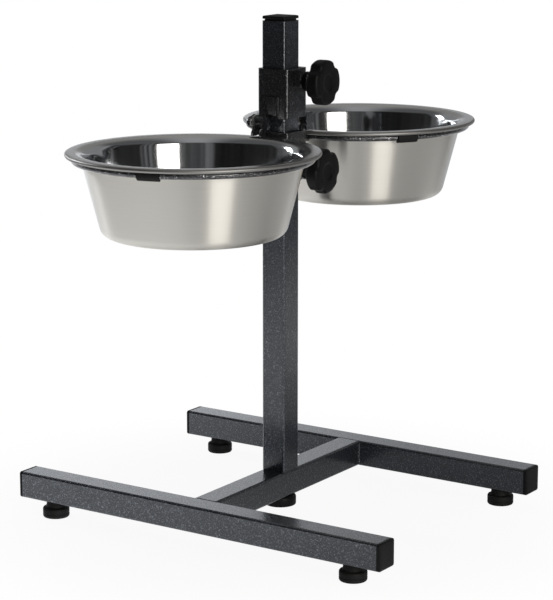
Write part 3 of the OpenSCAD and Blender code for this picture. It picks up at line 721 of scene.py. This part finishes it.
def make_bowl(name, x):
    below, above = bowl_profile()
    points = below + above
    run = [0.0]
    for p, q in zip(points, points[1:]):
        run.append(run[-1] + math.dist(p, q))
    bm = bmesh.new()
    lathe_map = bm.loops.layers.uv.new("lathe")
    rows = skin(bm, lathe_loops(along_plus_z(x, 0, RING_Z), points, BOWL_TURN))
    at = {vert: k for k, row in enumerate(rows) for vert in row}
    for face in bm.faces:
        low = min(at[v] for v in face.verts)
        face.material_index = sum(low >= len(below) + row for row in (EDGE_ROW, LIP_ROW, INSIDE_ROW))
        turns = [math.atan2(v.co.y, v.co.x - x) / (2 * math.pi) % 1.0 for v in face.verts]
        wraps = max(turns) - min(turns) > 0.5
        for loop, turn in zip(face.loops, turns):
            u = turn + 1.0 if wraps and turn < 0.5 else turn
            loop[lathe_map].uv = (u, run[at[loop.vert]])
    return finish_piece(name + "_steel", bm, name, "stainless", BOWL_FINISHES, [name], BOWL_CREASE)


for bowl_name, bowl_x in (("front_bowl", -BOWL_OFFSET), ("rear_bowl", BOWL_OFFSET)):
    made = make_bowl(bowl_name, bowl_x)
    print(made.name, "faces:", len(made.data.polygons))

# %% [markdown]
# ## Clamp knobs
# The cross knobs are moulded, with four broad lobes, soft edges, a hub behind and a shallow dish in the face. Four
# notches could be cut with Boolean, but its edges are hard to round. So each loop is an outline given by its radius
# at every angle: the circle of the lobes with a smooth notch between them.

# %% Knob outline
KNOB_TURN, KNOB_R, HUB_R = 128, 20.5 * MM, 9 * MM
NOTCH_AT, NOTCH_R, NOTCH_SOFT = 26.3 * MM, 8 * MM, 0.0014


def lobe_radius(angle):
    """Radius of the knob's outline: its circle, cut by four round notches with softened corners."""
    off = (angle + QUARTER / 2) % QUARTER - QUARTER / 2
    away = abs(off) - QUARTER / 2
    under = NOTCH_R ** 2 - (NOTCH_AT * math.sin(away)) ** 2
    if under <= 0:
        return KNOB_R
    cut = NOTCH_AT * math.cos(away) - math.sqrt(under)
    near = max(NOTCH_SOFT - abs(KNOB_R - cut), 0.0) / NOTCH_SOFT
    return min(KNOB_R, cut) - near * near * NOTCH_SOFT / 4


def knob_loop(place, inset, height, turn, share=1.0):
    """Outline of the knob, inset from its edge. Share 0 is a plain circle of the hub's radius."""
    loop = []
    for i in range(KNOB_TURN):
        angle = 2 * math.pi * i / KNOB_TURN
        radius = share * (lobe_radius(angle) - inset) + (1 - share) * HUB_R
        loop.append(place(radius * math.cos(angle + turn), radius * math.sin(angle + turn), height))
    return loop


print("knob radius, lobe and notch:", round(lobe_radius(0), 4), round(lobe_radius(QUARTER / 2), 4))

# %% Clamp knobs
CLAMP_Z = {"upper": 411 * MM, "lower": 330 * MM}
KNOB_BACK_Y, KNOB_EDGE, HUB_L, KNOB_H = -28 * MM, 3 * MM, 11.5 * MM, 13 * MM
KNOB_CREASE, EDGE_STEPS = 50, 6
# Radius and height in millimetres: of the bore and the hub from the back, and of the dish from the face
HUB_ROWS = ((4.1, 0.6), (4.1, 0), (8.2, 0), (8.8, 0.25), (9, 0.8), (9, 10.2))
DISH_ROWS = ((9.2, 0), (8.5, -0.05), (7.9, -0.55), (7.2, -0.95), (6.0, -1.0), (2.5, -1.0))
NECK_SHARES, NECK_DROP, DISH_DEPTH = (0.12, 0.35, 0.7, 1.0), 1.2 * MM, 1.0 * MM


def make_knob(name, body, z, turn):
    bm = bmesh.new()
    place = along_minus_y(0, KNOB_BACK_Y, z)
    face = HUB_L + KNOB_H
    bends = [QUARTER * i / EDGE_STEPS for i in range(EDGE_STEPS + 1)]
    loops = lathe_loops(place, HUB_ROWS, KNOB_TURN, MM)
    loops += [knob_loop(place, KNOB_EDGE, HUB_L - (1 - s) ** 2 * NECK_DROP, turn, s) for s in NECK_SHARES]
    loops += [knob_loop(place, KNOB_EDGE * (1 - math.sin(a)), HUB_L + KNOB_EDGE * (1 - math.cos(a)), turn)
              for a in bends[1:]]
    loops += [knob_loop(place, KNOB_EDGE * (1 - math.cos(a)), face - KNOB_EDGE * (1 - math.sin(a)), turn)
              for a in bends]
    loops += [circle_loop(place, r * MM, face + h * MM, KNOB_TURN, turn) for r, h in DISH_ROWS]
    loops.append([place(0, 0, face - DISH_DEPTH)])
    skin(bm, loops)
    return finish_piece(name + "_moulding", bm, body, "black_plastic", [plastic_black], [name], KNOB_CREASE)


for level, degrees in (("upper", 4), ("lower", 22)):
    made = make_knob(level + "_clamp_knob", level + "_clamp_screw", CLAMP_Z[level], math.radians(degrees))
    print(made.name, "faces:", len(made.data.polygons))

# %% [markdown]
# ## Caps
# The open ends of the tubes are closed by black caps. A cap has a flat plate with a softened edge that sits on the
# tube's end, and a plug inside. A cube with a Bevel modifier would come close. A row of rounded squares, each a
# little smaller than the one before, also gives the plug and the slight crown of the top cap.

# %% Caps
TUBE_HALF, TUBE_CORNER, LEAST_CORNER, CORNER_STEPS = 12.5 * MM, 2.2 * MM, 0.4 * MM, 6
SKID_X, SKID_END, TUBE_MID_Z, POST_TOP = 134.4 * MM, 195.5 * MM, 28.5 * MM, 465 * MM
CAP_CREASE, PLUG_END = 50, -11.5
# Inset from the tube's side and height over the tube's end, in millimetres, and the height in the middle
SKID_CAP_ROWS = ((1.6, -11.5), (1.6, -11), (1.6, 0), (0.25, 0), (0, 0.3), (0, 2.3), (0.2, 2.9), (0.7, 3.3),
                 (1.4, 3.45), (5, 3.5))
POST_CAP_ROWS = ((1.6, -11.5), (1.6, -11), (1.6, 0), (2.0, 0), (2.0, 1.5), (0.3, 1.6), (0, 1.9), (0, 3.5),
                 (0.25, 4.0), (0.8, 4.3), (2.0, 4.55), (5, 4.85), (9, 4.97))
SKID_CAP_MIDDLE, POST_CAP_MIDDLE = 3.5, 5.0


def square_loop(place, half, corner, height):
    """Points of a level square with round corners."""
    loop = []
    for k, (sx, sy) in enumerate(((1, 1), (-1, 1), (-1, -1), (1, -1))):
        for i in range(CORNER_STEPS + 1):
            a = QUARTER * (k + i / CORNER_STEPS)
            x, y = sx * (half - corner) + corner * math.cos(a), sy * (half - corner) + corner * math.sin(a)
            loop.append(place(x, y, height))
    return loop


def skin_cap(bm, place, rows, middle):
    loops = [square_loop(place, TUBE_HALF - inset * MM, max(TUBE_CORNER - inset * MM, LEAST_CORNER), h * MM)
             for inset, h in rows]
    skin(bm, [[place(0, 0, PLUG_END * MM)]] + loops + [[place(0, 0, middle * MM)]])


def make_skid_caps():
    bm = bmesh.new()
    for x in (-SKID_X, SKID_X):
        for place in (along_minus_y(x, -SKID_END, TUBE_MID_Z), along_plus_y(x, SKID_END, TUBE_MID_Z)):
            skin_cap(bm, place, SKID_CAP_ROWS, SKID_CAP_MIDDLE)
    return finish_piece("skid_end_caps_moulding", bm, "base", "black_plastic", [plastic_black], ["skid_end_caps"],
                        CAP_CREASE)


def make_post_cap():
    bm = bmesh.new()
    skin_cap(bm, along_plus_z(0, 0, POST_TOP), POST_CAP_ROWS, POST_CAP_MIDDLE)
    return finish_piece("post_top_cap_moulding", bm, "base", "black_plastic", [plastic_black], ["post_top_cap"],
                        CAP_CREASE)


print(make_skid_caps().name, make_post_cap().name)

# %% [markdown]
# ## Feet and the base hand screw
# Each foot is a rubber disc with a soft edge and a short neck. The head of the hand screw under the crossbar is the
# same kind of turned shape. Stacked cylinders would leave hard steps, so both are drawn as a profile and turned round
# an upright axis.

# %% Feet and base hand screw
FOOT_Y, TURNED_COUNT, TURNED_CREASE = 165 * MM, 72, 40
# Radius and height in millimetres
FOOT_PROFILE = ((0, 5), (4.5, 5), (4.5, 0.3), (4.8, 0), (10.9, 0), (11.8, 0.25), (12.3, 0.9), (12.5, 1.7),
                (12.5, 3.2), (12.15, 3.6), (12.15, 4.2), (12.5, 4.6), (12.5, 7.8), (12.3, 8.6), (11.8, 9.2),
                (10.9, 9.5), (9.9, 9.55), (9.4, 9.9), (9.15, 10.8), (8.6, 15.6), (8.5, 16), (0, 16))
HAND_SCREW_PROFILE = ((0, 6), (13.6, 6), (14.6, 6.3), (15, 7.1), (15, 13.6), (14.7, 14.5), (13.5, 15.7), (12.6, 16),
                      (4.2, 16), (4.2, 15), (0, 15))


def turned(name, slot, finish, replaced, x, y, profile):
    """Turns a profile round an upright axis into a piece of the base."""
    bm = bmesh.new()
    skin(bm, lathe_loops(along_plus_z(x, y, 0), profile, TURNED_COUNT, MM))
    return finish_piece(name, bm, "base", slot, [finish], [replaced], TURNED_CREASE)


for foot, x, y in (("foot_front_left", -SKID_X, FOOT_Y), ("foot_front_right", -SKID_X, -FOOT_Y),
                   ("foot_rear_left", SKID_X, FOOT_Y), ("foot_rear_right", SKID_X, -FOOT_Y)):
    print(turned(foot + "_rubber", "black_rubber", rubber_black, foot, x, y, FOOT_PROFILE).name)
print(turned("base_knob_moulding", "black_plastic", plastic_black, "base_knob", 0, 0, HAND_SCREW_PROFILE).name)

# %% [markdown]
# ## Rings
# Each ring is one round rod bent to a circle. Blender's own torus would do, but it comes with a place and a size to
# apply. A loop of circles, drawn at its place, has a rounder section than the solid. The rod's coat glitters more
# than that of the sleeves: it is glossier, and its pale flecks are a painted glint of the window.

# %% Rings
ROD_R, RING_STEPS, ROD_STEPS, RING_CREASE = 3.1 * MM, 160, 24, 60


def make_ring(name, body, x):
    bm = bmesh.new()
    rows = []
    section = arc_points((RING_R, RING_Z), ROD_R, 0, 2 * math.pi, ROD_STEPS)[:-1]
    for i in range(RING_STEPS):
        a = 2 * math.pi * i / RING_STEPS
        rows.append([bm.verts.new((x + r * math.cos(a), r * math.sin(a), z)) for r, z in section])
    for i in range(RING_STEPS):
        for k in range(ROD_STEPS):
            j, n = (i + 1) % RING_STEPS, (k + 1) % ROD_STEPS
            bm.faces.new((rows[i][k], rows[j][k], rows[j][n], rows[i][n])).smooth = True
    return finish_piece(name + "_rod", bm, body, "black_coat", [coat_rod_painted_glint], [name], RING_CREASE)


for ring, body, x in (("front_ring", "upper_holder", -BOWL_OFFSET), ("rear_ring", "lower_holder", BOWL_OFFSET)):
    print(make_ring(ring, body, x).name)

# %% [markdown]
# ## Nuts
# A cap nut closes the end of each bracket bolt. It has a six-sided foot with turned corners and a round end. The weld
# nuts on the sleeves are plain six-sided nuts under the coat, bored through for the clamp studs. A cylinder of six
# sides has no turned corners, so a loop of its own pulls the corners in where the lathe would have cut them.

# %% Nut loops
SIXTH, HEX_STEPS = math.pi / 3, 4


def hex_loop(place, flats, height, corner_cut):
    """Six-sided loop with two sides across X, each side cut into steps. Corner cut pulls the corners in."""
    loop = []
    reach = flats / 2 / math.cos(SIXTH / 2)
    angles = [SIXTH / 2 + SIXTH * i for i in range(6)]
    points = [(reach * math.cos(a), reach * math.sin(a)) for a in angles]
    for (ax, ay), (bx, by) in zip(points, points[1:] + points[:1]):
        for i in range(HEX_STEPS):
            px, py = ax + (bx - ax) * i / HEX_STEPS, ay + (by - ay) * i / HEX_STEPS
            share = min(1.0, (reach - corner_cut) / math.hypot(px, py))
            loop.append(place(px * share, py * share, height))
    return loop


def round_loop(place, radius, height):
    """Circle with as many points as a six-sided loop, in millimetres."""
    return circle_loop(place, radius * MM, height * MM, 6 * HEX_STEPS, SIXTH / 2)


print("points of a nut's loop:", 6 * HEX_STEPS)

# %% Nuts
BOLT_O, BOLT_Z, FRONT_NUT_Y, REAR_NUT_Y = 25 * MM, 373.3 * MM, 10.8 * MM, -6.4 * MM
CAP_NUT_FLATS, CAP_NUT_CREASE, DOME_R, DOME_Z, DOME_STEPS = 13 * MM, 32, 6, 3.2, 9
WELD_NUT_FLATS, WELD_NUT_CREASE, WELD_NUT_Y, MERGE = 16 * MM, 30, -18.4 * MM, 1e-6
# Height and corner cut in millimetres
CAP_NUT_ROWS = ((0.05, 0.9), (0.5, 0), (2.6, 0), (3.2, 0.95))
WELD_NUT_ROWS = ((0, 0), (8.1, 0), (9, 1.2))
# Radius and height in millimetres, from the face back to the start of the loops
WELD_NUT_BORE = ((4.6, 9), (4.1, 8.2), (4.1, 0))


def make_cap_nut(name, body, place):
    bm = bmesh.new()
    loops = [[place(0, 0, CAP_NUT_ROWS[0][0] * MM)]]
    loops += [hex_loop(place, CAP_NUT_FLATS, h * MM, cut * MM) for h, cut in CAP_NUT_ROWS]
    bends = [QUARTER * i / DOME_STEPS for i in range(DOME_STEPS)]
    loops += [round_loop(place, DOME_R * math.cos(a), DOME_Z + DOME_R * math.sin(a)) for a in bends]
    loops.append([place(0, 0, (DOME_Z + DOME_R) * MM)])
    skin(bm, loops)
    return finish_piece(name + "_bright", bm, body, "polished_nut", [nut_polish], [name], CAP_NUT_CREASE)


def make_weld_nut(name, body, z):
    bm = bmesh.new()
    place = along_minus_y(0, WELD_NUT_Y, z)
    loops = [round_loop(place, *WELD_NUT_BORE[-1])]
    loops += [hex_loop(place, WELD_NUT_FLATS, h * MM, cut * MM) for h, cut in WELD_NUT_ROWS]
    loops += [round_loop(place, r, h) for r, h in WELD_NUT_BORE]
    skin(bm, loops)
    bmesh.ops.remove_doubles(bm, verts=bm.verts, dist=MERGE)
    return finish_piece(name + "_coated", bm, body, "black_coat", [coat_black_painted_shade], [name], WELD_NUT_CREASE)


make_cap_nut("front_cap_nut", "upper_holder", along_plus_y(-BOLT_O, FRONT_NUT_Y, BOLT_Z))
make_cap_nut("rear_cap_nut", "lower_holder", along_plus_y(BOLT_O, REAR_NUT_Y, BOLT_Z))
make_weld_nut("upper_weld_nut", "upper_holder", CLAMP_Z["upper"])
make_weld_nut("lower_weld_nut", "lower_holder", CLAMP_Z["lower"])

# %% [markdown]
# ## Weld beads
# The base and the lugs are joined by weld beads: rows of small overlapping ripples along a seam. Each ripple could be
# set by hand. A seam repeats one ripple along a path, so Geometry Nodes make it: the path is cut into equal steps,
# and a flattened ball is set at each step with a small random change of size.

# %% Weld tree
RIPPLE_LEAST, RIPPLE_MOST = 0.86, 1.12


def build_weld_tree():
    tree, start, end = new_group(
        "weld_bead", "GeometryNodeTree",
        [("Seam", "NodeSocketGeometry", None), ("Step", "NodeSocketFloat", 0.0011),
         ("Bead", "NodeSocketFloat", 0.0016), ("Flat", "NodeSocketFloat", 0.7), ("Seed", "NodeSocketInt", 3),
         ("Finish", "NodeSocketMaterial", None)],
        [("Bead", "NodeSocketGeometry")])
    curve = add(tree, "GeometryNodeMeshToCurve")
    join(tree, start.outputs["Seam"], curve.inputs["Mesh"])
    steps = add(tree, "GeometryNodeResampleCurve", mode="LENGTH")
    join(tree, curve.outputs["Curve"], steps.inputs["Curve"])
    join(tree, start.outputs["Step"], steps.inputs["Length"])
    ball = add(tree, "GeometryNodeMeshIcoSphere", Subdivisions=2)
    join(tree, start.outputs["Bead"], ball.inputs["Radius"])
    tangent = add(tree, "GeometryNodeInputTangent")
    turn = add(tree, "FunctionNodeAlignRotationToVector", axis="Z")
    join(tree, tangent.outputs[0], turn.inputs["Vector"])
    change = add(tree, "FunctionNodeRandomValue", data_type="FLOAT")
    join(tree, RIPPLE_LEAST, change.inputs[2])
    join(tree, RIPPLE_MOST, change.inputs[3])
    join(tree, start.outputs["Seed"], change.inputs["Seed"])
    size = add(tree, "ShaderNodeCombineXYZ")
    join(tree, change.outputs[1], size.inputs["X"])
    join(tree, change.outputs[1], size.inputs["Y"])
    join(tree, start.outputs["Flat"], size.inputs["Z"])
    spread = add(tree, "GeometryNodeInstanceOnPoints")
    join(tree, steps.outputs["Curve"], spread.inputs["Points"])
    join(tree, ball.outputs["Mesh"], spread.inputs["Instance"])
    join(tree, turn.outputs["Rotation"], spread.inputs["Rotation"])
    join(tree, size.outputs["Vector"], spread.inputs["Scale"])
    real = add(tree, "GeometryNodeRealizeInstances")
    join(tree, spread.outputs["Instances"], real.inputs["Geometry"])
    soft = add(tree, "GeometryNodeSetShadeSmooth")
    join(tree, real.outputs["Geometry"], soft.inputs["Geometry"])
    coat = add(tree, "GeometryNodeSetMaterial")
    join(tree, soft.outputs["Geometry"], coat.inputs["Geometry"])
    join(tree, start.outputs["Finish"], coat.inputs["Material"])
    join(tree, coat.outputs["Geometry"], end.inputs["Bead"])
    return tree


weld_tree = build_weld_tree()
print("tree:", weld_tree.name, "nodes:", len(weld_tree.nodes))

# %% Weld beads
SEAM_X, SEAM_LOW, SEAM_HIGH, SEAM_POINTS = 121.9 * MM, 18.9 * MM, 38.1 * MM, 8
SLEEVE_FACE = 16.5 * MM
BASE_BEAD = {"Bead": 1.6 * MM, "Step": 1.2 * MM, "Seed": 3, "Finish": coat_grey}
LUG_BEAD = {"Bead": 1.2 * MM, "Step": 0.9 * MM, "Seed": 5, "Finish": coat_black_painted_shade}


def weld(name, body, slot, seams, wanted, replaced=()):
    """Beads along seams, each a list of points. Wanted holds the tree's inputs by name."""
    verts, edges = [], []
    for seam in seams:
        first = len(verts)
        verts += [tuple(p) for p in seam]
        edges += [(first + i, first + i + 1) for i in range(len(seam) - 1)]
    path = bpy.data.meshes.new(name + "_path")
    path.from_pydata(verts, edges, [])
    maker = bpy.data.objects.new(name + "_maker", path)
    scene.collection.objects.link(maker)
    modifier = maker.modifiers.new("weld", "NODES")
    modifier.node_group = weld_tree
    for socket in weld_tree.interface.items_tree:
        if socket.in_out == "INPUT" and socket.name in wanted:
            modifier[socket.identifier] = wanted[socket.name]
    graph = bpy.context.evaluated_depsgraph_get()
    mesh = bpy.data.meshes.new_from_object(maker.evaluated_get(graph))
    maker.modifiers.clear()
    bpy.data.objects.remove(maker)
    mesh.name = name
    add_to_stand(name, mesh, body, slot, replaced)
    print(name, "faces:", len(mesh.polygons))


def upright_seam(x, y, low, high):
    low_end, high_end = Vector((x, y, low)), Vector((x, y, high))
    return [low_end.lerp(high_end, i / (SEAM_POINTS - 1)) for i in range(SEAM_POINTS)]


base_seams = [upright_seam(sx * SEAM_X, sy * TUBE_HALF, SEAM_LOW, SEAM_HIGH) for sx in (-1, 1) for sy in (-1, 1)]
weld("base_weld_beads", "base", "hammered_coat", base_seams, BASE_BEAD, ["base_welds"])
for level, sign, low, high, sides in (("upper", -1, 381 * MM, 396 * MM, (-7.9, 6.6)),
                                      ("lower", 1, 345 * MM, 360 * MM, (-10.4, 4.1))):
    lug_seams = [upright_seam(sign * SLEEVE_FACE, y * MM, low, high) for y in sides]
    weld(level + "_lug_beads", level + "_holder", "black_coat", lug_seams, LUG_BEAD)

# %% [markdown]
# ## Size of the dressed stand
# The dressed stand has to keep the size of the solids. It could be measured by hand in the viewport, but a written
# box shows a slip of a tenth of a millimetre too. So the box of the dressed stand is written out.

# %% Size
low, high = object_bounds()
print("visual box:", [round(x, 4) for x in (*low, *high)])
